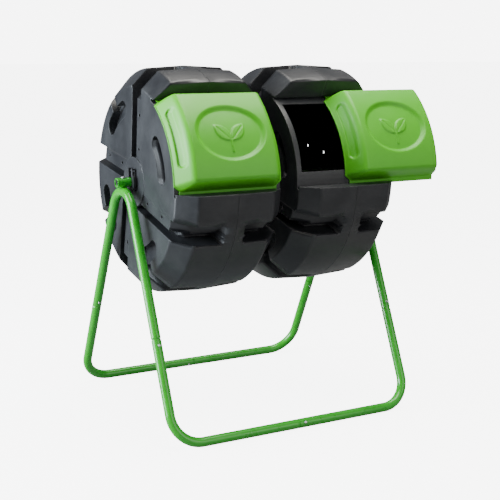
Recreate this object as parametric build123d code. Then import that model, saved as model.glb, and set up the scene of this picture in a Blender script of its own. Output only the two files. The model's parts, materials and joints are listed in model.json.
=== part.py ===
"""Twin-drum compost tumbler: two moulded drums with sliding doors on a fixed axle in a tube stand.

Units are millimetres. +X runs along the axle, -Y is the front, +Z is up, and the ground is Z = 0.
The origin is on the ground below the middle of the axle. Angles on a drum are measured about the
axle from the front (-Y) towards the top (+Z).
"""

import os
from math import atan2, cos, degrees, radians, sin, tan

from build123d import *

# --- Stand ---------------------------------------------------------------------------------------
TUBE_R = 12.7
TUBE_WALL = 1.5
STAND_LENGTH = 723.0
STAND_DEPTH = 636.0
LEG_RISE = 700.0
FOOT_BEND_R = 78.0
LEG_SEAM_SHARE = 0.358
SPIGOT_R = 11.0
SPIGOT_WALL = 1.3
SPIGOT_LENGTH = 42.0
SWAGE_LENGTH = 4.0
SEAM_GAP = 1.2
SADDLE_DEPTH = 1.0

# --- Snap buttons in the tube joints ---------------------------------------------------------------
BUTTON_R = 3.8
BUTTON_HOLE_R = 4.2
BUTTON_PROUD = 3.0
BUTTON_FROM_SEAM = 17.0
BUTTON_DOME_R = 2.3
SPRING_THICK = 0.8
SPRING_WIDTH = 8.0
SPRING_LENGTH = 26.0
STUD_ROOT_DEPTH = 2.5

# --- Axle and what holds it ------------------------------------------------------------------------
AXLE_Z = 643.0
AXLE_R = 10.0
AXLE_WALL = 2.0
AXLE_FIT = 0.08
SLEEVE_R = 12.7
SLEEVE_LENGTH = 38.0
SLEEVE_SLIP = 0.2
SLEEVE_BOLT_R = 2.5
SLEEVE_BOLT_HEAD_R = 4.5
SLEEVE_BOLT_HEAD = 3.5
COLLAR_R = 27.0
COLLAR_GAP = 0.5
COLLAR_SPLIT = 16.0
COLLAR_EAR_THICK = 8.0
COLLAR_EAR_TOP = 37.0
COLLAR_BOLT_R = 1.5
COLLAR_BOLT_Z = 31.5
COLLAR_HEAD_R = 2.8
COLLAR_HEAD = 2.5
SPACER_R = 16.0
SPACER_GAP = 0.5

# --- Drums -----------------------------------------------------------------------------------------
DRUM_OFFSET = 178.5
DRUM_WIDTH = 304.0
DRUM_R = 305.0
RIDGE_R = 299.0
FACE_R = 253.0
RIDGE_INSET = 45.0
RIDGE_ROUND = 14.0
FACE_ROUND = 9.0
WALL = 3.2
BRIDGE_HALF = 26.0
SLOT_CORNER_R = 8.0
SEAM_LINE = 0.8

HUB_R = 66.5
HUB_RAISE = 1.0
BUSH_PROUD = 4.0
BORE_R = 18.0
BOSS_R = 27.0
BOSS_LENGTH = 26.0
BUSH_FLANGE_R = 24.0
BUSH_FLANGE = 3.0

# Each main groove: its direction, the two edges of its deep channel and of its shallow flange strip (as
# tangential offsets, positive towards growing angle), and the radius where the strip turns off the face.
GROOVES = {
    "front": {"angle": -13.5, "channel": (-65.0, -45.0), "flange": (-45.0, -12.0), "turn": 232.0},
    "top": {"angle": 86.0, "channel": (-6.0, 20.0), "flange": (-36.0, -6.0), "turn": 223.0},
    "back": {"angle": 172.0, "channel": (-11.0, 7.0), "flange": (-48.0, -11.0), "turn": 210.0},
    "bottom": {"angle": 261.0, "channel": (-68.0, -46.0), "flange": (-46.0, -13.0), "turn": 222.0},
}
FLANGE_STEP = 3.0
FLANGE_BARREL_R = 266.0
CHANNEL_DEPTH = 34.0
CHANNEL_BARREL_R = 245.0
VENT_R = 4.5
VENT_PLACES = (90.0, 180.0)

# Hand holds: a curved pocket in each lobe (its angle and radius), with a radial channel to the rim in the
# three plain lobes.
POCKETS = {
    "door_lobe": (25.0, 178.0),
    "upper_back": (124.0, 200.0),
    "lower_back": (209.0, 200.0),
    "lower_front": (-67.0, 200.0),
}
POCKET_HALF_ANGLE = 13.5
POCKET_WIDTH = 46.0
POCKET_DEPTH = 26.0
MID_CHANNEL_HALF = 16.0
MID_CHANNEL_DEPTH = 22.0
MID_CHANNEL_BARREL_R = 284.0

# Bolted lugs inside the mid seam.
LUG_ANGLES = (-8.0, 68.0, 106.0, 146.0, 190.0, 230.0, 278.0, 312.0)
LUG_WIDTH = 22.0
LUG_THICK = 12.0
LUG_INNER_R = 281.0
LUG_BOLT_R = 2.5
LUG_HOLE_CLEAR = 0.2
LUG_HEAD_R = 4.4
LUG_HEAD = 3.5
LUG_NUT = 4.0

# --- Doors -----------------------------------------------------------------------------------------
RECESS_R = 248.0
RECESS_FROM = -0.5
RECESS_TO = 61.5
TRACK_DEPTH_ANGLE = 1.6
TRACK_HEIGHT = 5.5
OPENING_HALF_X = 137.0
OPENING_LOW_R = 240.0
OPENING_FROM = 8.0
OPENING_TO = 56.0
DOOR_TOP_R = 303.0
DOOR_HALF_X = 153.5
DOOR_RIDGE_X = 119.0
DOOR_WALL = 3.0
DOOR_FLOOR_GAP = 0.6
DOOR_FOOT_FROM = 0.8
DOOR_FOOT_TO = 60.2
DOOR_CREST_FROM = 6.7
DOOR_CREST_TO = 53.5
DOOR_ROUND = 9.0
DOOR_SECTION_REACH = 2.2
TONGUE_HEIGHT = 3.2
TONGUE_SIDE_GAP_ANGLE = 0.35
TONGUE_ROOT_ANGLE = 1.6
TONGUE_END_INSET = 14.0
GRIP_FROM = 15.0
GRIP_TO = 44.0
GRIP_CUT_R = 11.0
GRIP_CUT_LIFT = 6.0
OVAL_CENTRE = 30.0
OVAL_HALF_X = 106.0
OVAL_HALF_ARC = 73.0
OVAL_DEPTH = 2.5
RIGHT_DOOR_OPEN = 152.0

PAD = 10.0
HALF_TURN = 180.0

# --- Derived places --------------------------------------------------------------------------------
LEG_X = STAND_LENGTH / 2
FOOT_Y = STAND_DEPTH / 2
APEX_Z = TUBE_R + LEG_RISE
LEAN = atan2(FOOT_Y, LEG_RISE)
CREST_Z = AXLE_Z - SLEEVE_R + SADDLE_DEPTH - TUBE_R
APEX_BEND_R = (APEX_Z - CREST_Z) / (1 / sin(LEAN) - 1)
SLEEVE_END_X = LEG_X - SLEEVE_LENGTH / 2
AXLE_LENGTH = 2 * (LEG_X + SLEEVE_LENGTH / 2 - SLEEVE_BOLT_R)
DISC_FACE = DRUM_WIDTH / 2 + HUB_RAISE
HUB_FACE = DRUM_WIDTH / 2 + BUSH_PROUD
RIDGE_X = DRUM_WIDTH / 2 - RIDGE_INSET
CHAMFER_TURN = atan2(RIDGE_R - FACE_R, RIDGE_INSET)


def polar(radius, angle):
    """Y and Z of a point at a radius and a drum angle, about the axle."""
    return (-radius * cos(radians(angle)), radius * sin(radians(angle)))


def block(x0, x1, y0, y1, z0, z1):
    """A box between two corners."""
    box = Box(x1 - x0, y1 - y0, z1 - z0, align=(Align.MIN, Align.MIN, Align.MIN))
    return Pos(x0, y0, z0) * box


def rod(x0, x1, radius):
    """A solid cylinder along the axle line, between two places on X."""
    turned = Rot(0, 90, 0) * Cylinder(radius, x1 - x0, align=(Align.CENTER, Align.CENTER, Align.MIN))
    return Pos(x0, 0, 0) * turned


def turned(solid, angle):
    """Swing a solid that was built towards the front (angle 0) to another drum angle."""
    return Rot(-angle, 0, 0) * solid


def spun(points, start, stop, rounds=()):
    """Spin an (x, radius) outline about the axle line, from one drum angle to another."""
    outline = make_face(Polyline(*points, close=True))
    for place, radius in rounds:
        corner = outline.vertices().sort_by_distance(Vector(place[0], place[1], 0))[0]
        outline = fillet(corner, radius)
    # The sketch's Y is the radius; laid on the front half-plane it spins towards the top.
    face = Rot(HALF_TURN, 0, 0) * outline
    ring = revolve(face, Axis.X, stop - start) if stop - start < 2 * HALF_TURN else revolve(face, Axis.X)
    return Rot(-start, 0, 0) * (mirror(ring, Plane.XY) if stop - start < 2 * HALF_TURN else ring)


# --- Stand -----------------------------------------------------------------------------------------
def tube_along(path, radius, bore):
    """A round tube that follows a path."""
    section = Plane(path @ 0, z_dir=path % 0)
    outer = sweep(section * Circle(radius), path=path)
    return outer - sweep(section * Circle(bore), path=path)


def leg_point(side, front, share):
    """A point on a leg's centreline, by its share of the way from the foot corner to the apex."""
    y = (-1 if front else 1) * FOOT_Y * (1 - share)
    return Vector(side * LEG_X, y, TUBE_R + LEG_RISE * share)


def corner_is_outer(side, front):
    """Whether a corner tube's leg end takes the top tube's swaged end (alike when turned half round)."""
    return front == (side < 0)


def spigot(seam, inward):
    """The swaged end of a tube: a short cone and a thinner spigot that runs into the next tube."""
    frame = Plane(seam, z_dir=inward)
    cone = Cone(TUBE_R, SPIGOT_R, SWAGE_LENGTH, align=(Align.CENTER, Align.CENTER, Align.MAX))
    shank = Cylinder(SPIGOT_R, SPIGOT_LENGTH, align=(Align.CENTER, Align.CENTER, Align.MIN))
    bore_r = SPIGOT_R - SPIGOT_WALL
    bore = Cylinder(bore_r, SPIGOT_LENGTH + SWAGE_LENGTH, align=(Align.CENTER, Align.CENTER, Align.MIN))
    return frame * (cone + shank - Pos(0, 0, -SWAGE_LENGTH) * bore)


def button_hole(seam, inward, facing):
    """The hole through one side of both tubes for a snap button."""
    place = Plane(seam + inward * BUTTON_FROM_SEAM, z_dir=facing)
    hole = Cylinder(BUTTON_HOLE_R, TUBE_R + PAD, align=(Align.CENTER, Align.CENTER, Align.MIN))
    return place * hole


def button_facing(front):
    """The way the buttons look: forwards, square to the plane of the corner tubes."""
    return Vector(0, -cos(LEAN), (1 if front else -1) * sin(LEAN))


def leg_joint(side, front):
    """Seam point, direction of the spigot and facing of the button of a leg joint."""
    seam = leg_point(side, front, LEG_SEAM_SHARE)
    up = (leg_point(side, front, 1) - leg_point(side, front, 0)).normalized()
    inward = up * (-1 if corner_is_outer(side, front) else 1)
    return seam, inward, button_facing(front)


def base_joint(front):
    """The same three for the joint in the middle of a base tube."""
    seam = Vector(0, (-1 if front else 1) * FOOT_Y, TUBE_R)
    return seam, Vector(1 if front else -1, 0, 0), button_facing(front)


def open_tube_end(seam, inward):
    """Where a plain tube end stops, one seam gap past the seam."""
    return seam + inward * SEAM_GAP


def swaged_tube_end(seam, inward):
    """Where a tube's full diameter stops before its cone."""
    return seam - inward * SWAGE_LENGTH


def corner_tube(side, front):
    """One bent tube: half of a base tube, a wide bend, and the lower part of a leg."""
    leg_seam, leg_in, leg_face = leg_joint(side, front)
    base_seam, base_in, base_face = base_joint(front)
    leg_outer = corner_is_outer(side, front)
    leg_end = open_tube_end(leg_seam, leg_in) if leg_outer else swaged_tube_end(leg_seam, leg_in)
    base_outer = base_in.X * side > 0
    base_end = open_tube_end(base_seam, base_in) if base_outer else swaged_tube_end(base_seam, base_in)
    path = FilletPolyline(base_end, leg_point(side, front, 0), leg_end, radius=FOOT_BEND_R)
    tube = tube_along(path, TUBE_R, TUBE_R - TUBE_WALL)
    if not leg_outer:
        tube += spigot(leg_seam, leg_in)
    if not base_outer:
        tube += spigot(base_seam, base_in)
    return tube - button_hole(leg_seam, leg_in, leg_face) - button_hole(base_seam, base_in, base_face)


def apex_tube(side):
    """The bent top tube of one end frame, with a shallow saddle for the axle sleeve."""
    joints = [leg_joint(side, front) for front in (True, False)]
    ends = []
    for front, (seam, inward, _) in zip((True, False), joints):
        plain = not corner_is_outer(side, front)
        ends.append(open_tube_end(seam, inward) if plain else swaged_tube_end(seam, inward))
    path = FilletPolyline(ends[0], Vector(side * LEG_X, 0, APEX_Z), ends[1], radius=APEX_BEND_R)
    tube = tube_along(path, TUBE_R, TUBE_R - TUBE_WALL)
    for front, (seam, inward, facing) in zip((True, False), joints):
        if corner_is_outer(side, front):
            tube += spigot(seam, inward)
        tube -= button_hole(seam, inward, facing)
    saddle = rod(side * LEG_X - SLEEVE_LENGTH, side * LEG_X + SLEEVE_LENGTH, SLEEVE_R)
    return tube - Pos(0, 0, AXLE_Z) * saddle


def snap_button(seam, inward, facing):
    """A spring button: a domed stud on the moving leaf of its V spring, inside the spigot."""
    stud_root = SPIGOT_R - SPIGOT_WALL - STUD_ROOT_DEPTH
    stud_top = TUBE_R + BUTTON_PROUD
    stud = Pos(0, 0, stud_root) * Cylinder(
        BUTTON_R, stud_top - stud_root, align=(Align.CENTER, Align.CENTER, Align.MIN)
    )
    stud = fillet(stud.faces().sort_by(Axis.Z)[-1].edges(), BUTTON_DOME_R)
    leaf = Pos(0, 0, stud_root) * Box(
        SPRING_LENGTH, SPRING_WIDTH, SPRING_THICK, align=(Align.CENTER, Align.CENTER, Align.MAX)
    )
    place = Plane(seam + inward * BUTTON_FROM_SEAM, x_dir=inward, z_dir=facing)
    return place * (stud + leaf)


def spring_back_leaf(seam, inward, facing):
    """The still leaf of a V spring, flat against the far side of the spigot's bore."""
    bore_r = SPIGOT_R - SPIGOT_WALL
    seat = -(bore_r**2 - (SPRING_WIDTH / 2) ** 2) ** 0.5
    leaf = Pos(0, 0, seat) * Box(
        SPRING_LENGTH, SPRING_WIDTH, SPRING_THICK, align=(Align.CENTER, Align.CENTER, Align.MIN)
    )
    place = Plane(seam + inward * BUTTON_FROM_SEAM, x_dir=inward, z_dir=facing)
    return place * leaf


def apex_sleeve(side):
    """The short tube on top of an end frame that holds the axle's end."""
    middle = side * LEG_X
    start, stop = middle - SLEEVE_LENGTH / 2, middle + SLEEVE_LENGTH / 2
    sleeve = rod(start, stop, SLEEVE_R) - rod(start - PAD, stop + PAD, AXLE_R + SLEEVE_SLIP)
    drill = Cylinder(SLEEVE_BOLT_R + SLEEVE_SLIP, 2 * SLEEVE_R + PAD)
    return Pos(0, 0, AXLE_Z) * (sleeve - Pos(middle, 0, 0) * drill)


def sleeve_bolt(side):
    """The bolt through a sleeve and the axle, head on top."""
    length = 2 * SLEEVE_R - SADDLE_DEPTH
    shank = Cylinder(SLEEVE_BOLT_R, length, align=(Align.CENTER, Align.CENTER, Align.MAX))
    shank = Pos(0, 0, SLEEVE_R) * shank
    head = Cylinder(SLEEVE_BOLT_HEAD_R, SLEEVE_BOLT_HEAD, align=(Align.CENTER, Align.CENTER, Align.MIN))
    head = fillet(head.faces().sort_by(Axis.Z)[-1].edges(), SLEEVE_BOLT_HEAD / 2)
    head = Pos(0, 0, SLEEVE_R - SLEEVE_SLIP) * head - rod(-SLEEVE_LENGTH, SLEEVE_LENGTH, SLEEVE_R)
    return Pos(side * LEG_X, 0, AXLE_Z) * (shank + head)


def axle_tube():
    """The fixed steel axle, from sleeve to sleeve through both drums."""
    half = AXLE_LENGTH / 2
    tube = rod(-half, half, AXLE_R) - rod(-half - PAD, half + PAD, AXLE_R - AXLE_WALL)
    for side in (-1, 1):
        tube -= Pos(side * LEG_X, 0, 0) * Cylinder(SLEEVE_BOLT_R + SLEEVE_SLIP, 2 * AXLE_R + PAD)
    return Pos(0, 0, AXLE_Z) * tube


def axle_spacer():
    """The plastic sleeve on the axle that keeps the drums apart."""
    half = DRUM_OFFSET - HUB_FACE - SPACER_GAP
    return Pos(0, 0, AXLE_Z) * (rod(-half, half, SPACER_R) - rod(-half, half, AXLE_R))


def collar_span():
    """Inner and outer X of the left collar, between the drum's hub and the sleeve."""
    return -(SLEEVE_END_X - COLLAR_GAP), -(DRUM_OFFSET + HUB_FACE + COLLAR_GAP)


def axle_collar(side):
    """A split clamp collar with two ears on top, which keeps a drum from sliding along the axle."""
    start, stop = collar_span()
    middle = (start + stop) / 2
    collar = rod(start, stop, COLLAR_R)
    outside = COLLAR_SPLIT / 2 + COLLAR_EAR_THICK
    collar += block(start, stop, -outside, outside, AXLE_R, COLLAR_EAR_TOP)
    collar -= block(start - PAD, stop + PAD, -COLLAR_SPLIT / 2, COLLAR_SPLIT / 2, 0, COLLAR_EAR_TOP + PAD)
    collar -= rod(start - PAD, stop + PAD, AXLE_R)
    drill = Rot(90, 0, 0) * Cylinder(COLLAR_BOLT_R + SLEEVE_SLIP, 2 * outside + PAD)
    collar -= Pos(middle, 0, COLLAR_BOLT_Z) * drill
    collar = Pos(0, 0, AXLE_Z) * collar
    return collar if side < 0 else mirror(collar, Plane.YZ)


def collar_bolt(side):
    """The cross bolt of a collar, with a head and a nut outside the ears."""
    start, stop = collar_span()
    outside = COLLAR_SPLIT / 2 + COLLAR_EAR_THICK
    bolt = Cylinder(COLLAR_BOLT_R, 2 * (outside + COLLAR_HEAD))
    for end in (-1, 1):
        bolt += Pos(0, 0, end * (outside + COLLAR_HEAD / 2)) * Cylinder(COLLAR_HEAD_R, COLLAR_HEAD)
    bolt = Pos((start + stop) / 2, 0, AXLE_Z + COLLAR_BOLT_Z) * (Rot(90, 0, 0) * bolt)
    return bolt if side < 0 else mirror(bolt, Plane.YZ)


# --- Drum half-shell, built as the left half of a drum centred on the origin ------------------------
def drum_outline(inset):
    """The half drum's outline in X and radius, moved inwards by an inset."""
    ridge = -(RIDGE_X - inset * tan(CHAMFER_TURN / 2))
    face_r = FACE_R - inset * tan((radians(90) - CHAMFER_TURN) / 2)
    face = -(DRUM_WIDTH / 2 - inset)
    return [(0, 0), (0, DRUM_R - inset), (ridge, RIDGE_R - inset), (face, face_r), (face, 0)]


def drum_form(inset):
    """The half drum as a solid of revolution, without its grooves."""
    points = drum_outline(inset)
    rounds = ((points[2], RIDGE_ROUND - inset), (points[3], FACE_ROUND - inset))
    return spun(points, 0, 2 * HALF_TURN, rounds)


def groove_floor(step, face_r, barrel_r, inset):
    """What stays under a groove: a slimmer drum form whose surface is the groove's floor."""
    face = -(DRUM_WIDTH / 2 - step - inset)
    ridge = -(RIDGE_X - inset)
    points = [(PAD, 0), (PAD, barrel_r - inset), (ridge, barrel_r - inset), (face, face_r - inset), (face, 0)]
    return spun(points, 0, 2 * HALF_TURN)


def band(t0, t1, inner_r, inset):
    """A groove's plan: a bar from near the hub out past the rim, whose blind end has round corners."""
    x0, x1 = -(DRUM_WIDTH / 2 + PAD), -(BRIDGE_HALF - inset)
    bar = block(x0, x1, -(DRUM_R + PAD), -(inner_r - inset), t0 - inset, t1 + inset)
    ends = bar.edges().filter_by(Axis.Y).group_by(Axis.X)[-1]
    return fillet(ends, SLOT_CORNER_R + inset)


def main_groove_cut(groove, inset):
    """The stepped main groove between two lobes, clear of the hub disc."""
    flange = band(*groove["flange"], 0, inset)
    flange -= groove_floor(FLANGE_STEP, groove["turn"], FLANGE_BARREL_R, inset)
    channel = band(*groove["channel"], 0, inset)
    channel -= groove_floor(CHANNEL_DEPTH, CHANNEL_BARREL_R - CHANNEL_DEPTH / 2, CHANNEL_BARREL_R, inset)
    return turned(flange + channel, groove["angle"]) - rod(-DRUM_WIDTH, 0, HUB_R - inset)


def pocket_cut(angle, radius, inset):
    """The curved pocket of a hand hold."""
    half = POCKET_HALF_ANGLE
    arc = CenterArc((0, 0), radius, HALF_TURN - half, 2 * half)
    slot = SlotArc(arc, POCKET_WIDTH + 2 * inset)
    deep = extrude(slot, POCKET_DEPTH + inset + PAD)
    # The sketch's X and Y become the drum's Y and Z, and its normal points along the axle.
    laid = Plane((-(DRUM_WIDTH / 2 + PAD), 0, 0), x_dir=(0, 1, 0), z_dir=(1, 0, 0)) * deep
    return turned(laid, angle)


def mid_channel_cut(angle, radius, inset):
    """The channel from a hand hold out over the rim and along the barrel."""
    bar = band(-MID_CHANNEL_HALF, MID_CHANNEL_HALF, radius, inset)
    floor_face_r = FACE_R - MID_CHANNEL_DEPTH
    return turned(bar - groove_floor(MID_CHANNEL_DEPTH, floor_face_r, MID_CHANNEL_BARREL_R, inset), angle)


def door_recess_cut(inset):
    """The seat of the door across the barrel, with an undercut track along both of its sides."""
    spread = degrees(inset / RECESS_R)
    x0, x1 = -(DRUM_WIDTH / 2 + PAD), PAD
    low, high = RECESS_R - inset, DRUM_R + PAD
    seat = spun([(x0, low), (x1, low), (x1, high), (x0, high)], RECESS_FROM - spread, RECESS_TO + spread)
    brow = RECESS_R + TRACK_HEIGHT + inset
    reach = TRACK_DEPTH_ANGLE + spread
    track = spun([(x0, low), (x1, low), (x1, brow), (x0, brow)], RECESS_FROM - reach, RECESS_TO + reach)
    return seat + track


def drum_cuts(inset):
    """Everything sunk into the outside of the half drum, each grown by an inset."""
    cuts = door_recess_cut(inset)
    for groove in GROOVES.values():
        cuts += main_groove_cut(groove, inset)
    for name, (angle, radius) in POCKETS.items():
        cuts += pocket_cut(angle, radius, inset)
        if name != "door_lobe":
            cuts += mid_channel_cut(angle, radius, inset)
    return cuts


def seam_lugs():
    """Bolt lugs inside the barrel at the mid seam."""
    lugs = []
    for angle in LUG_ANGLES:
        lug = block(-LUG_THICK, 0, -(DRUM_R - WALL / 2), -LUG_INNER_R, -LUG_WIDTH / 2, LUG_WIDTH / 2)
        hole = Pos(0, -lug_bolt_r(), 0) * rod(-LUG_THICK - PAD, PAD, LUG_BOLT_R + LUG_HOLE_CLEAR)
        lugs.append(turned(lug - hole, angle))
    return lugs


def lug_bolt_r():
    """The radius of the circle of seam bolts."""
    return (LUG_INNER_R + DRUM_R - WALL) / 2


def half_shell():
    """The left half of a drum: outer form less its grooves, hollowed to an even wall."""
    shell = drum_form(0) - drum_cuts(0) - (drum_form(WALL) - drum_cuts(WALL))
    face = -DRUM_WIDTH / 2
    shell += rod(-DISC_FACE, face + WALL, HUB_R)
    shell += rod(face, face + BOSS_LENGTH, BOSS_R)
    shell -= rod(-HUB_FACE - PAD, face + BOSS_LENGTH + PAD, BORE_R)
    for lug in seam_lugs():
        shell += lug
    for groove in GROOVES.values():
        middle = sum(groove["flange"]) / 2
        for radius in VENT_PLACES:
            vent = Pos(0, -radius, middle) * rod(-HUB_FACE - PAD, face + CHANNEL_DEPTH, VENT_R)
            shell -= turned(vent, groove["angle"])
    x0, low = -OPENING_HALF_X, OPENING_LOW_R
    shell -= spun([(x0, low), (PAD, low), (PAD, DRUM_R), (x0, DRUM_R)], OPENING_FROM, OPENING_TO)
    outer = rod(-SEAM_LINE, 0, DRUM_R + PAD) - rod(-SEAM_LINE, 0, DRUM_R - SEAM_LINE)
    return shell - outer


def hub_bush():
    """A flanged plastic bearing in the left end's hub, running on the axle."""
    face = -DRUM_WIDTH / 2
    inner = face + BOSS_LENGTH
    bush = rod(-HUB_FACE, inner + BUSH_FLANGE, BORE_R) + rod(inner, inner + BUSH_FLANGE, BUSH_FLANGE_R)
    return bush - rod(-HUB_FACE - PAD, inner + PAD, AXLE_R + AXLE_FIT)


def seam_bolts():
    """The bolts of the mid seam, as one group."""
    bolts = []
    for angle in LUG_ANGLES:
        bolt = rod(-LUG_THICK, LUG_THICK + LUG_NUT, LUG_BOLT_R)
        bolt += rod(-LUG_THICK - LUG_HEAD, -LUG_THICK, LUG_HEAD_R)
        bolts.append(turned(Pos(0, -lug_bolt_r(), 0) * bolt, angle))
    return bolts


def seam_nuts():
    """The nuts of the mid seam, as one group."""
    nuts = []
    for angle in LUG_ANGLES:
        nut = extrude(RegularPolygon(LUG_HEAD_R, 6), LUG_NUT)
        nut = Pos(LUG_THICK, -lug_bolt_r(), 0) * (Rot(0, 90, 0) * nut)
        nut -= Pos(0, -lug_bolt_r(), 0) * rod(LUG_THICK - PAD, LUG_THICK + LUG_NUT + PAD, LUG_BOLT_R)
        nuts.append(turned(nut, angle))
    return nuts


# --- Door, built closed on a drum centred on the origin ----------------------------------------------
def door_section(inset):
    """The door's side walls and top in the plane across the axle, as a prism that bounds its angle."""

    def corner(foot_angle, crest_angle, reach):
        foot_y, foot_z = polar(RECESS_R, foot_angle)
        crest_y, crest_z = polar(DOOR_TOP_R, crest_angle)
        return (foot_y + (crest_y - foot_y) * reach, foot_z + (crest_z - foot_z) * reach)

    beyond = DOOR_SECTION_REACH
    points = [
        polar(RECESS_R / 2, OVAL_CENTRE),
        corner(DOOR_FOOT_FROM, DOOR_CREST_FROM, 0),
        corner(DOOR_FOOT_FROM, DOOR_CREST_FROM, beyond),
        corner(DOOR_FOOT_TO, DOOR_CREST_TO, beyond),
        corner(DOOR_FOOT_TO, DOOR_CREST_TO, 0),
    ]
    face = make_face(Polyline(*points, close=True))
    if inset:
        face = offset(face, amount=-inset)
    prism = extrude(face, 2 * DOOR_HALF_X)
    return Plane((-DOOR_HALF_X, 0, 0), x_dir=(0, 1, 0), z_dir=(1, 0, 0)) * prism


def door_form(inset):
    """The door's bevelled body over the drum, before it is hollowed."""
    lower = RECESS_R + DOOR_FLOOR_GAP - inset
    slope = atan2(DOOR_TOP_R - RECESS_R, DOOR_HALF_X - DOOR_RIDGE_X)
    ridge = DOOR_RIDGE_X - inset * tan(slope / 2)
    edge = DOOR_HALF_X - inset / sin(slope) + inset / tan(slope)
    top = DOOR_TOP_R - inset
    points = [(-edge, lower), (-ridge, top), (ridge, top), (edge, lower)]
    rounds = ((points[1], DOOR_ROUND - inset), (points[2], DOOR_ROUND - inset))
    body = spun(points, RECESS_FROM, RECESS_TO, rounds) & door_section(inset)
    return body - grip_cut(inset) - oval_cut(inset)


def grip_cut(inset):
    """The finger slot in the left bevel of the door."""
    middle_x = -(DOOR_HALF_X + DOOR_RIDGE_X) / 2
    middle_r = (DOOR_TOP_R + RECESS_R) / 2
    slope = atan2(DOOR_TOP_R - RECESS_R, DOOR_HALF_X - DOOR_RIDGE_X)
    x, radius = middle_x - GRIP_CUT_LIFT * sin(slope), middle_r + GRIP_CUT_LIFT * cos(slope)
    section = Rot(HALF_TURN, 0, 0) * (Pos(x, radius) * Circle(GRIP_CUT_R + inset))
    sweep_angle = GRIP_TO - GRIP_FROM
    cut = Rot(-GRIP_FROM, 0, 0) * mirror(revolve(section, Axis.X, sweep_angle), Plane.XY)
    for angle in (GRIP_FROM, GRIP_TO):
        y, z = polar(radius, angle)
        cut += Pos(x, y, z) * Sphere(GRIP_CUT_R + inset)
    return cut


def oval_cut(inset):
    """The shallow oval panel in the door's top."""
    oval = extrude(Ellipse(OVAL_HALF_X + inset, OVAL_HALF_ARC + inset), DRUM_R)
    laid = Plane((0, 0, 0), x_dir=(1, 0, 0), z_dir=(0, -1, 0)) * oval
    floor = rod(-DRUM_WIDTH, DRUM_WIDTH, DOOR_TOP_R - OVAL_DEPTH - inset)
    return turned(laid, OVAL_CENTRE) - floor


def door():
    """The sliding door: a thin bevelled tray with a tongue along each side that runs in the drum's track."""
    body = door_form(0) - door_form(DOOR_WALL)
    low = RECESS_R + DOOR_FLOOR_GAP
    half = DOOR_HALF_X - TONGUE_END_INSET
    section = [(-half, low), (half, low), (half, low + TONGUE_HEIGHT), (-half, low + TONGUE_HEIGHT)]
    reach = TRACK_DEPTH_ANGLE - TONGUE_SIDE_GAP_ANGLE
    body += spun(section, RECESS_FROM - reach, DOOR_FOOT_FROM + TONGUE_ROOT_ANGLE)
    body += spun(section, DOOR_FOOT_TO - TONGUE_ROOT_ANGLE, RECESS_TO + reach)
    return body


# --- Assembly ----------------------------------------------------------------------------------------
def build_stand():
    nodes = {}
    for side, side_name in ((-1, "left"), (1, "right")):
        nodes[f"{side_name}_top_tube"] = apex_tube(side)
        nodes[f"{side_name}_axle_sleeve"] = apex_sleeve(side)
        nodes[f"{side_name}_axle_collar"] = axle_collar(side)
        for front, depth_name in ((True, "front"), (False, "rear")):
            nodes[f"{depth_name}_{side_name}_corner_tube"] = corner_tube(side, front)
    nodes["axle_tube"] = axle_tube()
    nodes["axle_spacer"] = axle_spacer()
    nodes["sleeve_bolts"] = Compound([sleeve_bolt(side) for side in (-1, 1)])
    nodes["collar_bolts"] = Compound([collar_bolt(side) for side in (-1, 1)])
    joints = {
        f"{depth}_{side_name}_leg": leg_joint(side, front)
        for side, side_name in ((-1, "left"), (1, "right"))
        for front, depth in ((True, "front"), (False, "rear"))
    }
    joints["front_base"] = base_joint(True)
    joints["rear_base"] = base_joint(False)
    for name, joint in joints.items():
        nodes[f"{name}_snap_button"] = snap_button(*joint)
    nodes["snap_spring_leaves"] = Compound([spring_back_leaf(*joint) for joint in joints.values()])
    return nodes


def build_drums():
    left_half, left_bush, closed_door = half_shell(), hub_bush(), door()
    right_half, right_bush = mirror(left_half, Plane.YZ), mirror(left_bush, Plane.YZ)
    bolts, nuts = seam_bolts(), seam_nuts()
    nodes = {}
    for side, name in ((-1, "left"), (1, "right")):
        place = Pos(side * DRUM_OFFSET, 0, AXLE_Z)
        outer, inner = (left_half, right_half) if side < 0 else (right_half, left_half)
        nodes[f"{name}_drum_outer_shell"] = place * outer
        nodes[f"{name}_drum_inner_shell"] = place * inner
        outer_bush, inner_bush = (left_bush, right_bush) if side < 0 else (right_bush, left_bush)
        nodes[f"{name}_drum_outer_bush"] = place * outer_bush
        nodes[f"{name}_drum_inner_bush"] = place * inner_bush
        nodes[f"{name}_drum_seam_bolts"] = Compound([place * bolt for bolt in bolts])
        nodes[f"{name}_drum_seam_nuts"] = Compound([place * nut for nut in nuts])
        slide = RIGHT_DOOR_OPEN if side > 0 else 0
        nodes[f"{name}_door"] = Pos(slide, 0, 0) * (place * closed_door)
    return nodes


def main():
    os.makedirs("parts", exist_ok=True)
    for name, shape in {**build_stand(), **build_drums()}.items():
        export_step(shape, os.path.join("parts", f"{name}.step"))


main()
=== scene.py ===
"""The looks of a twin-drum compost tumbler, laid out as a Blender add-on and run as a script.

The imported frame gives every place. Each operator dresses or builds one group of pieces, and the
main function calls them in order. All sizes are in metres.
"""

import json
from math import atan2, cos, hypot, pi, radians, sin

import bmesh
import bpy
from bpy.props import FloatProperty, FloatVectorProperty, PointerProperty
from mathutils import Matrix, Vector


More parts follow.
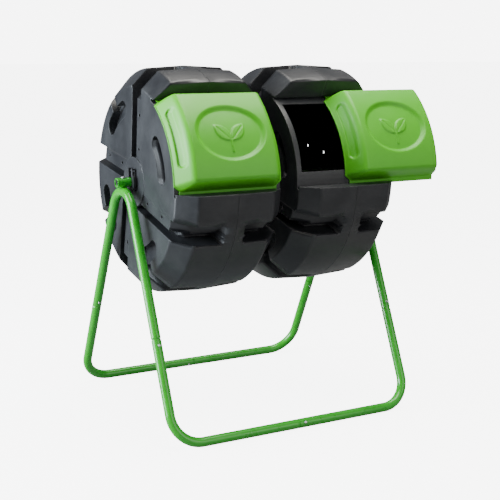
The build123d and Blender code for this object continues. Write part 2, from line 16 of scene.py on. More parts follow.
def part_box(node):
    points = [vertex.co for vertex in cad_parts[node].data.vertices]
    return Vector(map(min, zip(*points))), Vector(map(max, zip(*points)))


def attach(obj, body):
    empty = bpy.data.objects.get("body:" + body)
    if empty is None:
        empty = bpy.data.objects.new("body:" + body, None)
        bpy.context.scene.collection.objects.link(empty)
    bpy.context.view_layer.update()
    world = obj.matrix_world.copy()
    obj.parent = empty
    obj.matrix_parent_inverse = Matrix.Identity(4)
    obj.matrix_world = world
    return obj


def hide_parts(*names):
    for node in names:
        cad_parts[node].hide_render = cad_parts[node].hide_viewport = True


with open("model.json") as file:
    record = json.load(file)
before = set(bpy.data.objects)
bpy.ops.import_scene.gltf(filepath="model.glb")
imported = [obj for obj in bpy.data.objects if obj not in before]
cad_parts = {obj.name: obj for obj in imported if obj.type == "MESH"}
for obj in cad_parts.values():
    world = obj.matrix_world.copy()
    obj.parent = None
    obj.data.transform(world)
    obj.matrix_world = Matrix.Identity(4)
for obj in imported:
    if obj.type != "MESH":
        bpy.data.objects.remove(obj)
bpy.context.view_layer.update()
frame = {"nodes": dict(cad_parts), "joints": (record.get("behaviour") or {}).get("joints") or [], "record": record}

bl_info = {
    "name": "Compost Tumbler Looks",
    "version": (1, 0, 0),
    "blender": (4, 5, 0),
    "location": "View3D > Sidebar > Tumbler",
    "description": "Dresses the packed twin-drum compost tumbler with softened plastic, doors and fittings",
    "category": "Object",
}

# --- Places taken from the frame ---------------------------------------------------------------------
JOINTS = {joint["name"]: joint for joint in frame["joints"]}
SIDES = ("left", "right")
DRUM_CENTRE = {side: Vector(JOINTS[f"{side}_drum_spin"]["pos_m"]) for side in SIDES}
AXLE_Z = DRUM_CENTRE["left"].z
STAND_LEFT_X = sum(corner.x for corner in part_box("left_axle_sleeve")) / 2
SLEEVE_R = (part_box("left_axle_sleeve")[1].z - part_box("left_axle_sleeve")[0].z) / 2
DOOR_LOW, DOOR_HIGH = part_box("left_door")
DOOR_HALF_X = (DOOR_HIGH.x - DOOR_LOW.x) / 2
DOOR_CENTRE_X = {side: sum(corner.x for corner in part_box(f"{side}_door")) / 2 for side in SIDES}

SHELLS = {f"{side}_drum_{end}_shell": f"{side}_drum" for side in SIDES for end in ("outer", "inner")}
SHELL_SMOOTH_ANGLE = radians(32)

# --- Shape of the doors, as on the part -----------------------------------------------------------------
DOOR_BASE_R = 0.2486
DOOR_TOP_R = 0.303
DOOR_FOOT = (radians(0.8), radians(60.2))
DOOR_CREST = (radians(6.7), radians(53.5))
DOOR_RIDGE_X = 0.119
DOOR_WALL = 0.003
DOOR_STEPS_X = 168
DOOR_STEPS_ARC = 156
DOOR_CORNER_CUT = 0.11
LEAF_HEIGHT = 0.0030
LEAF_LEAN = 0.75
LEAF_LENGTH = 0.062
LEAF_WIDTH = 0.017
LEAF_FOOT = -0.022
LEAF_FULLNESS = 0.8
LEAF_VEIN = 0.0012
LEAF_SLOPE = 0.003
STALK_SPAN = (-0.052, -0.018)
STALK_HALF = 0.0032
STALK_SLOPE = 0.002
CORNER_SLOPE = 0.16
TRACK_ANGLE = radians(1.9)
OVAL_MIDDLE = radians(30.0)
OVAL_HALF_X = 0.101
OVAL_HALF_ARC = 0.078
OVAL_DEPTH = 0.0090
OVAL_SLOPE = 0.012
GRIP_ARC = (radians(17.0), radians(45.0))
GRIP_HALF_WIDTH = 0.0165
GRIP_DEPTH = 0.0088
GRIP_SLOPE = 0.0075
TONGUE_END_INSET = 0.014
TONGUE_HEIGHT = 0.0031
TONGUE_REACH = radians(1.25)
RECESS_ARC = (radians(-0.5), radians(61.5))

# --- Fittings on the sleeves ----------------------------------------------------------------------------
BOLT_HEX_R = 0.0042
BOLT_HEX_HEIGHT = 0.0032
BOLT_FLANGE_R = 0.0058
BOLT_FLANGE_THICK = 0.0012
BOLT_FLANGE_TAPER = 0.94
BOLT_EDGE = 0.0004
BOLT_SINK = 0.0003
WELD_SHARE = 0.62
WELD_STEPS = 72
WELD_RIPPLES = 24
WELD_RIPPLE = 0.10
WELD_LIFT = 0.0006


def polar(radius, angle):
    """Y and Z of a point at a radius and a drum angle, measured about the axle from the front to the top."""
    return Vector((0.0, -radius * cos(angle), AXLE_Z + radius * sin(angle)))


# --- What a user would change ---------------------------------------------------------------------------
class TumblerShapes(bpy.types.PropertyGroup):
    """Sizes of the finish on the moulded parts and fittings."""

    door_round: FloatProperty(
        name="Door edge", description="How softly the door's ridges turn", default=0.012, unit="LENGTH"
    )
    weld_radius: FloatProperty(
        name="Weld bead", description="Radius of the weld beads on the stand", default=0.0026, unit="LENGTH"
    )


class TumblerColours(bpy.types.PropertyGroup):
    """Colours of the finishes."""

    drum: FloatVectorProperty(
        name="Drum plastic", description="Recycled black plastic", subtype="COLOR",
        default=(0.011, 0.012, 0.015),
    )
    # This pale drum colour is rubbed wear, and it is also painted onto the edges as a highlight.
    drum_pale: FloatVectorProperty(
        name="Drum scuffs and edge highlight", description="Where the black plastic is rubbed, and its painted edge highlight", subtype="COLOR",
        default=(0.060, 0.063, 0.068),
    )
    door: FloatVectorProperty(
        name="Door plastic", description="Green plastic of the doors", subtype="COLOR",
        default=(0.070, 0.440, 0.004),
    )
    # This pale door colour is a paler tone of the plastic, and it is also painted onto the edges as a highlight.
    door_bloom_and_highlight: FloatVectorProperty(
        name="Door bloom and edge highlight", description="Where the green plastic is paler", subtype="COLOR",
        default=(0.120, 0.560, 0.020),
    )
    tube: FloatVectorProperty(
        name="Powder coat", description="Green powder coat of the stand", subtype="COLOR",
        default=(0.022, 0.400, 0.012),
    )
    steel: FloatVectorProperty(
        name="Zinc", description="Zinc plated steel", subtype="COLOR", default=(0.62, 0.63, 0.64)
    )
    floor: FloatVectorProperty(
        name="Floor", description="Plain pale floor", subtype="COLOR", default=(0.55, 0.55, 0.55)
    )


# --- Shader building ------------------------------------------------------------------------------------
def add_node(tree, kind, values=None, **settings):
    """A shader node with its settings and its sockets' constant values."""
    node = tree.nodes.new(kind)
    for name, value in settings.items():
        setattr(node, name, value)
    for name, value in (values or {}).items():
        node.inputs[name].default_value = value
    return node


def new_group(name, inputs, outputs):
    """An empty shader node group with its sockets, and its input and output nodes."""
    group = bpy.data.node_groups.new(name, "ShaderNodeTree")
    for socket, (kind, default) in inputs.items():
        made = group.interface.new_socket(name=socket, in_out="INPUT", socket_type=kind)
        if default is not None:
            made.default_value = default
    for socket, kind in outputs.items():
        group.interface.new_socket(name=socket, in_out="OUTPUT", socket_type=kind)
    return group, group.nodes.new("NodeGroupInput"), group.nodes.new("NodeGroupOutput")


def group_node(tree, group, **values):
    """A group placed in a material with its own values."""
    node = add_node(tree, "ShaderNodeGroup", node_tree=group)
    for name, value in values.items():
        node.inputs[name.replace("_", " ").title()].default_value = value
    return node


def edge_group():
    """Mask of the outer edges, from how far a rounded normal leans away from the true one."""
    float_in = "NodeSocketFloat"
    # In the plastics this mask lightens the edges, partly as rubbed wear and partly as a painted highlight.
    group, given, out = new_group("Rubbed and Highlit Edges", {"Width": (float_in, 0.003), "Gain": (float_in, 4.0)},
                                  {"Mask": float_in})
    rounded = add_node(group, "ShaderNodeBevel", samples=4)
    true = add_node(group, "ShaderNodeNewGeometry")
    lean = add_node(group, "ShaderNodeVectorMath", operation="DOT_PRODUCT")
    gap = add_node(group, "ShaderNodeMath", operation="SUBTRACT", values={0: 1.0})
    gain = add_node(group, "ShaderNodeMath", operation="MULTIPLY", use_clamp=True)
    links = group.links
    links.new(given.outputs["Width"], rounded.inputs["Radius"])
    links.new(rounded.outputs["Normal"], lean.inputs[0])
    links.new(true.outputs["Normal"], lean.inputs[1])
    links.new(lean.outputs["Value"], gap.inputs[1])
    links.new(gap.outputs[0], gain.inputs[0])
    links.new(given.outputs["Gain"], gain.inputs[1])
    links.new(gain.outputs[0], out.inputs["Mask"])
    return group


def grain_group():
    """Fine moulded or sprayed grain as a height, with a slow mottle as a mask."""
    float_in = "NodeSocketFloat"
    group, given, out = new_group(
        "Surface Grain",
        {"Grain Size": (float_in, 0.0012), "Mottle Size": (float_in, 0.06), "Orange Peel": (float_in, 0.3)},
        {"Height": float_in, "Mottle": float_in},
    )
    links = group.links
    place = add_node(group, "ShaderNodeTexCoord")

    def noise_of_size(socket, detail):
        scale = add_node(group, "ShaderNodeMath", operation="DIVIDE", values={0: 1.0})
        links.new(given.outputs[socket], scale.inputs[1])
        noise = add_node(group, "ShaderNodeTexNoise", values={"Detail": detail, "Roughness": 0.55})
        links.new(place.outputs["Object"], noise.inputs["Vector"])
        links.new(scale.outputs[0], noise.inputs["Scale"])
        return noise

    fine = noise_of_size("Grain Size", 2.0)
    slow = noise_of_size("Mottle Size", 4.0)
    blend = add_node(group, "ShaderNodeMix", data_type="FLOAT")
    links.new(given.outputs["Orange Peel"], blend.inputs["Factor"])
    links.new(fine.outputs["Fac"], blend.inputs["A"])
    links.new(slow.outputs["Fac"], blend.inputs["B"])
    spread = add_node(group, "ShaderNodeMapRange", values={"From Min": 0.32, "From Max": 0.68})
    links.new(slow.outputs["Fac"], spread.inputs["Value"])
    links.new(blend.outputs["Result"], out.inputs["Height"])
    links.new(spread.outputs["Result"], out.inputs["Mottle"])
    return group


def dust_group():
    """Soft streaks and specks of dust as a mask, stretched along the axle."""
    float_in = "NodeSocketFloat"
    group, given, out = new_group("Garden Dust", {"Size": (float_in, 0.05), "Amount": (float_in, 0.3)},
                                  {"Mask": float_in})
    links = group.links
    place = add_node(group, "ShaderNodeTexCoord")
    stretch = add_node(group, "ShaderNodeMapping", values={"Scale": (0.35, 1.0, 1.0)})
    scale = add_node(group, "ShaderNodeMath", operation="DIVIDE", values={0: 1.0})
    noise = add_node(group, "ShaderNodeTexNoise", values={"Detail": 6.0, "Roughness": 0.65})
    cut = add_node(group, "ShaderNodeMapRange", values={"From Min": 0.5, "From Max": 0.75})
    amount = add_node(group, "ShaderNodeMath", operation="MULTIPLY", use_clamp=True)
    links.new(place.outputs["Object"], stretch.inputs["Vector"])
    links.new(stretch.outputs["Vector"], noise.inputs["Vector"])
    links.new(given.outputs["Size"], scale.inputs[1])
    links.new(scale.outputs[0], noise.inputs["Scale"])
    links.new(noise.outputs["Fac"], cut.inputs["Value"])
    links.new(cut.outputs["Result"], amount.inputs[0])
    links.new(given.outputs["Amount"], amount.inputs[1])
    links.new(amount.outputs[0], out.inputs["Mask"])
    return group


class Finishes:
    """The shared node groups, built once."""

    groups = {}

    @classmethod
    def group(cls, name):
        makers = {"edges": edge_group, "grain": grain_group, "dust": dust_group}
        if name not in cls.groups:
            cls.groups[name] = makers[name]()
        return cls.groups[name]


def new_material(name, roughness, metallic=0.0, coat=0.0, coat_roughness=0.1, specular=0.5):
    """A material with a Principled shader whose steady values sit on its own sockets."""
    material = bpy.data.materials.new(name)
    material.use_nodes = True
    shader = material.node_tree.nodes["Principled BSDF"]
    for socket, value in {
        "Roughness": roughness, "Metallic": metallic, "Coat Weight": coat,
        "Coat Roughness": coat_roughness, "Specular IOR Level": specular,
    }.items():
        shader.inputs[socket].default_value = value
    return material, material.node_tree, shader


def colour_mix(tree, factor, first, second):
    """Two colours mixed by a mask. A colour is a value or another node's output."""
    mix = add_node(tree, "ShaderNodeMix", data_type="RGBA")
    tree.links.new(factor, mix.inputs["Factor"])
    sockets = [socket for socket in mix.inputs if socket.type == "RGBA"]
    for socket, colour in zip(sockets, (first, second)):
        if isinstance(colour, bpy.types.NodeSocket):
            tree.links.new(colour, socket)
        else:
            socket.default_value = (*colour, 1.0)
    return next(socket for socket in mix.outputs if socket.type == "RGBA")


def spread_roughness(tree, shader, mask, low, high):
    """Roughness that follows a mask."""
    spread = add_node(tree, "ShaderNodeMapRange", values={"To Min": low, "To Max": high})
    tree.links.new(mask, spread.inputs["Value"])
    tree.links.new(spread.outputs["Result"], shader.inputs["Roughness"])


def add_bump(tree, shader, height, distance, rounding=0.0):
    """Bump from a height, with its depth in metres, over edges that are shaded as rounded."""
    bump = add_node(tree, "ShaderNodeBump", values={"Distance": distance})
    if rounding:
        rounded = add_node(tree, "ShaderNodeBevel", {"Radius": rounding}, samples=6)
        tree.links.new(rounded.outputs["Normal"], bump.inputs["Normal"])
    tree.links.new(height, bump.inputs["Height"])
    tree.links.new(bump.outputs["Normal"], shader.inputs["Normal"])


def moulded_plastic(name, base, pale, grain, mottle, roughness, edge_width, dust, bump):
    """Injection-moulded plastic: mottled colour, paler edges of rubbed wear and painted highlight, fine grain and
    a little dust.
    """
    material, tree, shader = new_material(name, sum(roughness) / 2)
    texture = group_node(
        tree, Finishes.group("grain"), grain_size=grain, mottle_size=mottle, orange_peel=0.25
    )
    edges = group_node(tree, Finishes.group("edges"), width=edge_width, gain=1.6)
    specks = group_node(tree, Finishes.group("dust"), size=mottle, amount=dust)
    blend = [b + (p - b) * 0.25 for b, p in zip(base, pale)]
    colour = colour_mix(tree, texture.outputs["Mottle"], base, blend)
    # The paler edges stand for rubbed wear and also a painted highlight along the rounded edges.
    colour = colour_mix(tree, edges.outputs["Mask"], colour, pale)
    colour = colour_mix(tree, specks.outputs["Mask"], colour, [0.5 * (p + 0.25) for p in pale])
    tree.links.new(colour, shader.inputs["Base Color"])
    spread_roughness(tree, shader, texture.outputs["Mottle"], *roughness)
    add_bump(tree, shader, texture.outputs["Height"], bump, edge_width)
    return material


def drum_plastic(colours):
    return moulded_plastic(
        "Black drum plastic", colours.drum, colours.drum_pale, grain=0.0016, mottle=0.09,
        roughness=(0.36, 0.46), edge_width=0.004, dust=0.10, bump=0.00022,
    )


def door_plastic(colours):
    return moulded_plastic(
        "Green door plastic", colours.door, colours.door_bloom_and_highlight, grain=0.0014, mottle=0.12,
        roughness=(0.40, 0.50), edge_width=0.003, dust=0.04, bump=0.00012,
    )


def powder_coat(colours):
    """Glossy green powder coat with a slight orange peel and a little dust."""
    material, tree, shader = new_material("Green powder coat", 0.3, coat=0.35, coat_roughness=0.12)
    texture = group_node(tree, Finishes.group("grain"), grain_size=0.0022, mottle_size=0.05, orange_peel=0.15)
    specks = group_node(tree, Finishes.group("dust"), size=0.03, amount=0.06)
    deep = [0.86 * c for c in colours.tube]
    colour = colour_mix(tree, texture.outputs["Mottle"], deep, colours.tube)
    colour = colour_mix(tree, specks.outputs["Mask"], colour, (0.32, 0.40, 0.26))
    tree.links.new(colour, shader.inputs["Base Color"])
    spread_roughness(tree, shader, texture.outputs["Mottle"], 0.24, 0.34)
    add_bump(tree, shader, texture.outputs["Height"], 0.00010)
    return material


def plated_steel(name, colour, roughness, grain):
    """Plated or drawn steel with fine marks and a mottled sheen."""
    material, tree, shader = new_material(name, sum(roughness) / 2, metallic=1.0)
    texture = group_node(tree, Finishes.group("grain"), grain_size=grain, mottle_size=0.012, orange_peel=0.4)
    dull = [0.7 * c for c in colour]
    tree.links.new(colour_mix(tree, texture.outputs["Mottle"], dull, colour), shader.inputs["Base Color"])
    spread_roughness(tree, shader, texture.outputs["Mottle"], *roughness)
    add_bump(tree, shader, texture.outputs["Height"], 0.00004)
    return material


def fitting_plastic(name, colour):
    """Plain black engineering plastic of the bushes, collars and spacer."""
    material, tree, shader = new_material(name, 0.4)
    texture = group_node(tree, Finishes.group("grain"), grain_size=0.0008, mottle_size=0.02, orange_peel=0.2)
    pale = [2.0 * c for c in colour]
    tree.links.new(colour_mix(tree, texture.outputs["Mottle"], colour, pale), shader.inputs["Base Color"])
    spread_roughness(tree, shader, texture.outputs["Mottle"], 0.32, 0.46)
    add_bump(tree, shader, texture.outputs["Height"], 0.00008)
    return material


def looks():
    """The scene's own property groups."""
    return bpy.context.scene.tumbler_shapes, bpy.context.scene.tumbler_colours


def finish_of(key):
    """The material for one kind of finish, made the first time it is asked for."""
    _, colours = looks()
    makers = {
        "Black drum plastic": lambda: drum_plastic(colours),
        "Green door plastic": lambda: door_plastic(colours),
        "Green powder coat": lambda: powder_coat(colours),
        "Zinc plated steel": lambda: plated_steel("Zinc plated steel", colours.steel, (0.18, 0.34), 0.0010),
        "Drawn axle steel": lambda: plated_steel("Drawn axle steel", colours.steel, (0.28, 0.42), 0.0006),
        "Black fitting plastic": lambda: fitting_plastic("Black fitting plastic", (0.016, 0.016, 0.018)),
    }
    return bpy.data.materials.get(key) or makers[key]()


# --- Mesh helpers -----------------------------------------------------------------------------------------
def finish_piece(name, mesh_data, material, body, replaces=(), smooth_angle=None):
    """Turn a bmesh into a piece at the origin that rides on a body."""
    mesh = bpy.data.meshes.new(name)
    mesh_data.to_mesh(mesh)
    mesh_data.free()
    piece = bpy.data.objects.new(name, mesh)
    bpy.context.scene.collection.objects.link(piece)
    mesh.materials.append(finish_of(material))
    mesh.polygons.foreach_set("use_smooth", [True] * len(mesh.polygons))
    if smooth_angle is not None:
        mesh.set_sharp_from_angle(angle=smooth_angle)
    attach(piece, body)
    if replaces:
        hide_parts(*replaces)
    return piece


def merged_copy(node):
    """A CAD node's mesh with its loose triangles merged into flat faces."""
    copy = bmesh.new()
    copy.from_mesh(frame["nodes"][node].data)
    bmesh.ops.remove_doubles(copy, verts=copy.verts, dist=1e-6)
    bmesh.ops.dissolve_limit(copy, angle_limit=radians(0.6), verts=copy.verts, edges=copy.edges)
    return copy


def soften(mesh_data, width, sharper_than, segments=2):
    """Round every edge that is sharper than an angle."""
    edges = [e for e in mesh_data.edges if e.is_manifold and e.calc_face_angle(0.0) > sharper_than]
    bmesh.ops.bevel(
        mesh_data, geom=edges, offset=width, offset_type="OFFSET", segments=segments, profile=0.5,
        affect="EDGES", material=-1, clamp_overlap=True,
    )


def smooth_step(value):
    """0 below 0, 1 above 1, and a soft curve between."""
    value = min(max(value, 0.0), 1.0)
    return value * value * (3.0 - 2.0 * value)


def soft_min(a, b, reach):
    """The lesser of two lengths, rounded where they are within a reach of each other."""
    near = max(reach - abs(a - b), 0.0)
    return min(a, b) - near * near / (4.0 * reach)


# --- Doors --------------------------------------------------------------------------------------------------
def door_height(x, angle, reach):
    """How high the door's skin stands over its foot, at a place along the axle and around the drum."""
    full = DOOR_TOP_R - DOOR_BASE_R
    end_slope = full / (DOOR_HALF_X - DOOR_RIDGE_X)
    low_slope = full / (DOOR_CREST[0] - DOOR_FOOT[0])
    high_slope = full / (DOOR_FOOT[1] - DOOR_CREST[1])
    ends = (DOOR_HALF_X - abs(x)) * end_slope
    sides = soft_min((angle - DOOR_FOOT[0]) * low_slope, (DOOR_FOOT[1] - angle) * high_slope, reach)
    return soft_min(soft_min(ends, sides, reach), full, reach)


def oval_dip(x, angle):
    """Depth of the oval panel, with its sloping border."""
    across = x / OVAL_HALF_X
    around = (angle - OVAL_MIDDLE) * DOOR_TOP_R / OVAL_HALF_ARC
    reach = hypot(across, around)
    inside = (1.0 - reach) * min(OVAL_HALF_X, OVAL_HALF_ARC)
    return OVAL_DEPTH * smooth_step(inside / OVAL_SLOPE)


def grip_dip(x, angle):
    """Depth of the finger slot in the left bevel."""
    middle_x = -(DOOR_HALF_X + DOOR_RIDGE_X) / 2
    middle_r = (DOOR_TOP_R + DOOR_BASE_R) / 2
    stretch = hypot(1.0, (DOOR_TOP_R - DOOR_BASE_R) / (DOOR_HALF_X - DOOR_RIDGE_X))
    beyond = max(GRIP_ARC[0] - angle, angle - GRIP_ARC[1], 0.0) * middle_r
    off_line = hypot((x - middle_x) * stretch, beyond)
    return GRIP_DEPTH * smooth_step((GRIP_HALF_WIDTH - off_line) / GRIP_SLOPE)


def leaf_rise(x, angle):
    """A plain embossed pair of leaves on a stalk, in the middle of the oval panel."""
    height = 0.0
    across, around = x, (angle - OVAL_MIDDLE) * DOOR_TOP_R
    for lean in (LEAF_LEAN, -LEAF_LEAN):
        along = (across * sin(lean) + (around - LEAF_FOOT) * cos(lean)) / LEAF_LENGTH
        off = abs(across * cos(lean) - (around - LEAF_FOOT) * sin(lean))
        if 0.0 < along < 1.0:
            edge = LEAF_WIDTH * sin(pi * along) ** LEAF_FULLNESS
            vein = smooth_step((off - LEAF_VEIN) / LEAF_VEIN)
            height = max(height, smooth_step((edge - off) / LEAF_SLOPE) * (0.55 + 0.45 * vein))
    if STALK_SPAN[0] < around < STALK_SPAN[1]:
        height = max(height, smooth_step((STALK_HALF - abs(across)) / STALK_SLOPE))
    return LEAF_HEIGHT * height


def door_skin(side, reach):
    """The door's skin: a grid with cut corners, bent round the drum and raised into a bevelled cap."""
    skin = bmesh.new()
    bmesh.ops.create_grid(skin, x_segments=DOOR_STEPS_X, y_segments=DOOR_STEPS_ARC, size=1.0)
    for across, around in ((1, 1), (1, -1), (-1, 1), (-1, -1)):
        corner = Vector((across, around, 0.0))
        bmesh.ops.bisect_plane(
            skin, geom=[*skin.verts, *skin.edges, *skin.faces], dist=1e-6,
            plane_co=corner * (1.0 - DOOR_CORNER_CUT / 2), plane_no=corner, clear_outer=True,
        )
    middle = (DOOR_FOOT[0] + DOOR_FOOT[1]) / 2
    half_arc = (DOOR_FOOT[1] - DOOR_FOOT[0]) / 2
    for vert in skin.verts:
        across, around = vert.co.x, vert.co.y
        x, angle = across * DOOR_HALF_X, middle + around * half_arc
        room = (2.0 - DOOR_CORNER_CUT - abs(across) - abs(around)) * CORNER_SLOPE
        height = soft_min(door_height(x, angle, reach), room, reach / 2)
        height -= oval_dip(x, angle) + grip_dip(x, angle) - leaf_rise(x, angle)
        # The rim keeps a wall's thickness over its foot, so that the wall's inner side clears the drum.
        along = Vector((DOOR_CENTRE_X[side] + x, 0.0, 0.0))
        vert.co = polar(DOOR_BASE_R + max(height, DOOR_WALL), angle) + along
    bmesh.ops.recalc_face_normals(skin, faces=skin.faces)
    outward = sum(face.normal.dot(face.calc_center_median() - axle_point(face)) for face in skin.faces)
    if outward < 0:
        bmesh.ops.reverse_faces(skin, faces=skin.faces)
    return skin


def axle_point(face):
    """The point of the axle beside a face."""
    return Vector((face.calc_center_median().x, 0.0, AXLE_Z))


def add_wall(piece, wall):
    """Give a piece's open skin its wall, on the inner side."""
    solid = piece.modifiers.new("wall", "SOLIDIFY")
    solid.thickness, solid.offset = wall, -1.0


def track_tongue(side, angle_from, angle_to):
    """A tongue along one side of a door, which runs in the drum's track."""
    tongue = bmesh.new()
    low, high = DOOR_BASE_R, DOOR_BASE_R + TONGUE_HEIGHT
    first = DOOR_CENTRE_X[side] - DOOR_HALF_X + TONGUE_END_INSET
    last = DOOR_CENTRE_X[side] + DOOR_HALF_X - TONGUE_END_INSET
    outline = ((low, first), (high, first), (high, last), (low, last))
    corners = [tongue.verts.new(polar(radius, angle_from) + Vector((x, 0.0, 0.0))) for radius, x in outline]
    ring = [tongue.edges.new(pair) for pair in zip(corners, corners[1:] + corners[:1])]
    bmesh.ops.spin(
        tongue, geom=[*ring, *corners], cent=(0.0, 0.0, AXLE_Z), axis=(-1.0, 0.0, 0.0),
        angle=angle_to - angle_from, steps=4, use_duplicate=False,
    )
    bmesh.ops.holes_fill(tongue, edges=tongue.edges)
    bmesh.ops.recalc_face_normals(tongue, faces=tongue.faces)
    return tongue


# --- Fittings -----------------------------------------------------------------------------------------------
def hex_bolt_head(centre, direction, radius, height, flange):
    """A hexagon head on a round flange, softened along its edges."""
    head = bmesh.new()
    bmesh.ops.create_cone(
        head, cap_ends=True, segments=32, radius1=flange, radius2=flange * BOLT_FLANGE_TAPER,
        depth=BOLT_FLANGE_THICK, matrix=Matrix.Translation((0, 0, BOLT_FLANGE_THICK / 2)),
    )
    bmesh.ops.create_cone(
        head, cap_ends=True, segments=6, radius1=radius, radius2=radius, depth=height,
        matrix=Matrix.Translation((0, 0, BOLT_FLANGE_THICK + height / 2)),
    )
    soften(head, BOLT_EDGE, radians(30))
    turn = direction.to_track_quat("Z", "Y").to_matrix().to_4x4()
    bmesh.ops.transform(head, matrix=Matrix.Translation(centre) @ turn, verts=head.verts)
    return head


def weld_ring(x, radius, bead):
    """A weld bead round the seat where a sleeve sits on its top tube."""
    ring = bmesh.new()
    made = bmesh.ops.create_circle(ring, segments=10, radius=bead, cap_ends=False)
    place = Matrix.Translation((radius, 0, 0)) @ Matrix.Rotation(pi / 2, 4, "X")
    bmesh.ops.transform(ring, matrix=place, verts=made["verts"])
    bmesh.ops.spin(ring, geom=ring.edges[:] + ring.verts[:], cent=(0, 0, 0), axis=(0, 0, 1), angle=2 * pi,
                   steps=WELD_STEPS, use_merge=True, use_duplicate=False)
    bmesh.ops.remove_doubles(ring, verts=ring.verts, dist=1e-6)
    for vert in ring.verts:
        turn = atan2(vert.co.y, vert.co.x)
        ripple = 1.0 + WELD_RIPPLE * sin(WELD_RIPPLES * turn)
        away = Vector((cos(turn) * radius, sin(turn) * radius, 0.0))
        vert.co = away + (vert.co - away) * ripple
        sag = SLEEVE_R - (max(SLEEVE_R**2 - vert.co.y**2, 0.0)) ** 0.5
        vert.co.z += sag - SLEEVE_R + WELD_LIFT
    bmesh.ops.transform(ring, matrix=Matrix.Translation((x, 0, AXLE_Z)), verts=ring.verts)
    bmesh.ops.recalc_face_normals(ring, faces=ring.faces)
    return ring


# --- Operators ----------------------------------------------------------------------------------------------
class TUMBLER_OT_drums(bpy.types.Operator):
    """Give the four drum half-shells merged faces with even shading"""

    bl_idname = "tumbler.drums"
    bl_label = "Drum half-shells"

    def execute(self, context):
        for node, body in SHELLS.items():
            name = node.replace("_shell", "_half")
            half = finish_piece(name, merged_copy(node), "Black drum plastic", body, (node,),
                                SHELL_SMOOTH_ANGLE)
            even = half.modifiers.new("even shading", "WEIGHTED_NORMAL")
            even.keep_sharp = True
        return {"FINISHED"}


class TUMBLER_OT_doors(bpy.types.Operator):
    """Build the two sliding doors with their oval panels and finger slots"""

    bl_idname = "tumbler.doors"
    bl_label = "Sliding doors"

    def execute(self, context):
        shapes, _ = looks()
        for side in SIDES:
            body = f"{side}_door_body"
            skin = door_skin(side, shapes.door_round)
            cap = finish_piece(f"{side}_door_cap", skin, "Green door plastic", body,
                               (f"{side}_door",), radians(50))
            add_wall(cap, DOOR_WALL)
            arcs = {
                "lower": (RECESS_ARC[0] - TONGUE_REACH, DOOR_FOOT[0] + TRACK_ANGLE),
                "upper": (DOOR_FOOT[1] - TRACK_ANGLE, RECESS_ARC[1] + TONGUE_REACH),
            }
            for name, (start, stop) in arcs.items():
                tongue = track_tongue(side, start, stop)
                finish_piece(f"{side}_door_{name}_tongue", tongue, "Green door plastic", body,
                             smooth_angle=radians(30))
        return {"FINISHED"}


class TUMBLER_OT_stand(bpy.types.Operator):
    """Add the weld beads and bolt heads on the stand's sleeves"""

    bl_idname = "tumbler.stand"
    bl_label = "Stand"

    def execute(self, context):
        shapes, _ = looks()
        for side, sign in zip(SIDES, (1, -1)):
            x = sign * STAND_LEFT_X
            bead = weld_ring(x, SLEEVE_R * WELD_SHARE, shapes.weld_radius)
            finish_piece(f"{side}_sleeve_weld", bead, "Green powder coat", "stand")
            top = Vector((x, 0, AXLE_Z + SLEEVE_R - BOLT_SINK))
            head = hex_bolt_head(top, Vector((0, 0, 1)), BOLT_HEX_R, BOLT_HEX_HEIGHT, BOLT_FLANGE_R)
            finish_piece(f"{side}_sleeve_bolt_head", head, "Zinc plated steel", "stand",
                         smooth_angle=radians(30))
        return {"FINISHED"}


class TUMBLER_OT_finishes(bpy.types.Operator):
    """Give every carried-over part of the frame its finish"""

    bl_idname = "tumbler.finishes"
    bl_label = "Finishes of the frame"

    def execute(self, context):
        keys = {
            "green_powder_coat": "Green powder coat", "black_fittings": "Black fitting plastic",
            "zinc_fixings": "Zinc plated steel", "spring_steel": "Drawn axle steel",
            "axle_steel": "Drawn axle steel", "drum_plastic": "Black drum plastic",
            "bush_plastic": "Black fitting plastic", "door_plastic": "Green door plastic",
        }
        slots = {part["node"]: part["material_slot"] for part in frame["record"]["subparts"]}
        for name, node in frame["nodes"].items():
            material = finish_of(keys[slots[name]])
            for place in node.material_slots:
                place.material = material
            if not node.material_slots:
                raise RuntimeError(f"{name} has no material slot")
        return {"FINISHED"}


CAMERA = {
    "lens": 78.6, "sensor": 36.0, "azimuth": radians(-29.48), "elevation": radians(11.31),
    "roll": radians(0.63), "target": (0.0266, 0.0, 0.4264), "distance": 3.120,
}
LIGHTS = {
    "left_window": {"at": (-3.0, 0.7, 1.2), "size": (2.0, 2.4), "power": 300.0, "colour": (0.84, 0.93, 1.0)},
    "overhead": {"at": (0.3, -0.2, 3.2), "size": (2.6, 1.8), "power": 150.0, "colour": (1.0, 0.97, 0.90)},
    "front_fill": {"at": (1.2, -3.6, 1.5), "size": (2.4, 2.0), "power": 34.0, "colour": (1.0, 0.98, 0.95)},
}
SKY_COLOUR = (0.94, 0.97, 1.0)
SKY_STRENGTH = 0.22
BACKDROP_STRENGTH = 7.0
FLOOR_GLOW = 6.3
FLOOR_BOUNCE = (0.30, 0.30, 0.30)
LIGHT_AIM = Vector((0.0, 0.0, 0.5))


def aimed(at, target):
    """A turn that looks from one place to another."""
    return (Vector(target) - Vector(at)).to_track_quat("-Z", "Y")


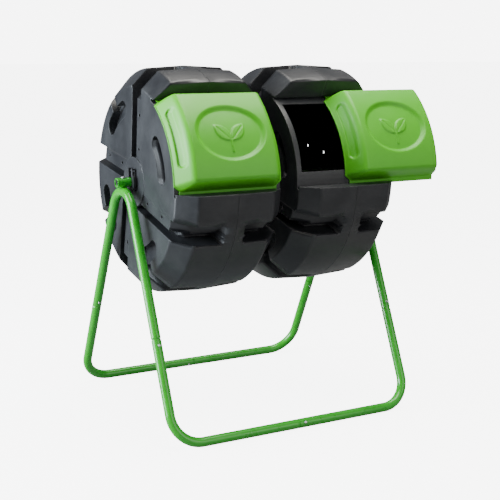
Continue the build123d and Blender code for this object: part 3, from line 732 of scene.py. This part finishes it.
class TUMBLER_OT_stage(bpy.types.Operator):
    """Set the plain floor, the soft studio light and the camera"""

    bl_idname = "tumbler.stage"
    bl_label = "Stage"

    def execute(self, context):
        _, colours = looks()
        self.floor(context, colours.floor)
        self.surroundings(context)
        for name, values in LIGHTS.items():
            self.light(context, name, values)
        self.camera(context)
        return {"FINISHED"}

    def floor(self, context, colour):
        sheet = bmesh.new()
        bmesh.ops.create_grid(sheet, x_segments=2, y_segments=2, size=30.0)
        mesh = bpy.data.meshes.new("floor")
        sheet.to_mesh(mesh)
        sheet.free()
        floor = bpy.data.objects.new("floor", mesh)
        context.scene.collection.objects.link(floor)
        material, tree, shader = new_material("Pale floor", 0.9, specular=0.1)
        shader.inputs["Base Color"].default_value = (*colour, 1.0)
        shader.inputs["Specular IOR Level"].default_value = 0.0
        shader.inputs["Emission Color"].default_value = (1.0, 1.0, 1.0, 1.0)
        shader.inputs["Emission Strength"].default_value = FLOOR_GLOW
        # What the object itself receives from the floor is much less than what the floor shows.
        bounce = add_node(tree, "ShaderNodeBsdfDiffuse", {"Color": (*FLOOR_BOUNCE, 1.0)})
        rays = add_node(tree, "ShaderNodeLightPath")
        choice = add_node(tree, "ShaderNodeMixShader")
        tree.links.new(rays.outputs["Is Camera Ray"], choice.inputs["Fac"])
        tree.links.new(bounce.outputs["BSDF"], choice.inputs[1])
        tree.links.new(shader.outputs["BSDF"], choice.inputs[2])
        tree.links.new(choice.outputs["Shader"], tree.nodes["Material Output"].inputs["Surface"])
        mesh.materials.append(material)

    def surroundings(self, context):
        world = bpy.data.worlds.new("studio")
        context.scene.world = world
        world.use_nodes = True
        tree = world.node_tree
        soft = tree.nodes["Background"]
        soft.inputs["Color"].default_value = (*SKY_COLOUR, 1.0)
        soft.inputs["Strength"].default_value = SKY_STRENGTH
        backdrop = {"Color": (1.0, 1.0, 1.0, 1.0), "Strength": BACKDROP_STRENGTH}
        seen = add_node(tree, "ShaderNodeBackground", backdrop)
        rays = add_node(tree, "ShaderNodeLightPath")
        choice = add_node(tree, "ShaderNodeMixShader")
        tree.links.new(rays.outputs["Is Camera Ray"], choice.inputs["Fac"])
        tree.links.new(soft.outputs["Background"], choice.inputs[1])
        tree.links.new(seen.outputs["Background"], choice.inputs[2])
        tree.links.new(choice.outputs["Shader"], tree.nodes["World Output"].inputs["Surface"])

    def light(self, context, name, values):
        lamp = bpy.data.lights.new(name, "AREA")
        lamp.shape = "RECTANGLE"
        lamp.size, lamp.size_y = values["size"]
        lamp.energy = values["power"]
        lamp.color = values["colour"]
        holder = bpy.data.objects.new(name, lamp)
        context.scene.collection.objects.link(holder)
        holder.location = values["at"]
        holder.rotation_euler = aimed(values["at"], LIGHT_AIM).to_euler()

    def camera(self, context):
        lens = bpy.data.cameras.new("camera")
        lens.lens, lens.sensor_width = CAMERA["lens"], CAMERA["sensor"]
        azimuth, elevation = CAMERA["azimuth"], CAMERA["elevation"]
        back = Vector((sin(azimuth) * cos(elevation), -cos(azimuth) * cos(elevation), sin(elevation)))
        target = Vector(CAMERA["target"])
        camera = bpy.data.objects.new("camera", lens)
        context.scene.collection.objects.link(camera)
        camera.location = target + back * CAMERA["distance"]
        level = aimed(camera.location, target).to_matrix()
        camera.rotation_euler = (level @ Matrix.Rotation(CAMERA["roll"], 3, "Z")).to_euler()
        context.scene.camera = camera


class TUMBLER_PT_panel(bpy.types.Panel):
    """Lists the tumbler's builders and their values"""

    bl_label = "Compost Tumbler"
    bl_idname = "TUMBLER_PT_panel"
    bl_space_type = "VIEW_3D"
    bl_region_type = "UI"
    bl_category = "Tumbler"

    def draw(self, context):
        for group in (context.scene.tumbler_shapes, context.scene.tumbler_colours):
            for name in group.__annotations__:
                self.layout.prop(group, name)
        for operator in OPERATORS:
            self.layout.operator(operator.bl_idname)


OPERATORS = (TUMBLER_OT_finishes, TUMBLER_OT_drums, TUMBLER_OT_doors, TUMBLER_OT_stand, TUMBLER_OT_stage)
CLASSES = (TumblerShapes, TumblerColours, *OPERATORS, TUMBLER_PT_panel)


def register():
    for each in CLASSES:
        bpy.utils.register_class(each)
    bpy.types.Scene.tumbler_shapes = PointerProperty(type=TumblerShapes)
    bpy.types.Scene.tumbler_colours = PointerProperty(type=TumblerColours)


def unregister():
    del bpy.types.Scene.tumbler_colours
    del bpy.types.Scene.tumbler_shapes
    for each in reversed(CLASSES):
        bpy.utils.unregister_class(each)


def main():
    register()
    bpy.ops.tumbler.finishes()
    bpy.ops.tumbler.drums()
    bpy.ops.tumbler.doors()
    bpy.ops.tumbler.stand()
    bpy.ops.tumbler.stage()


if __name__ == "__main__":
    main()
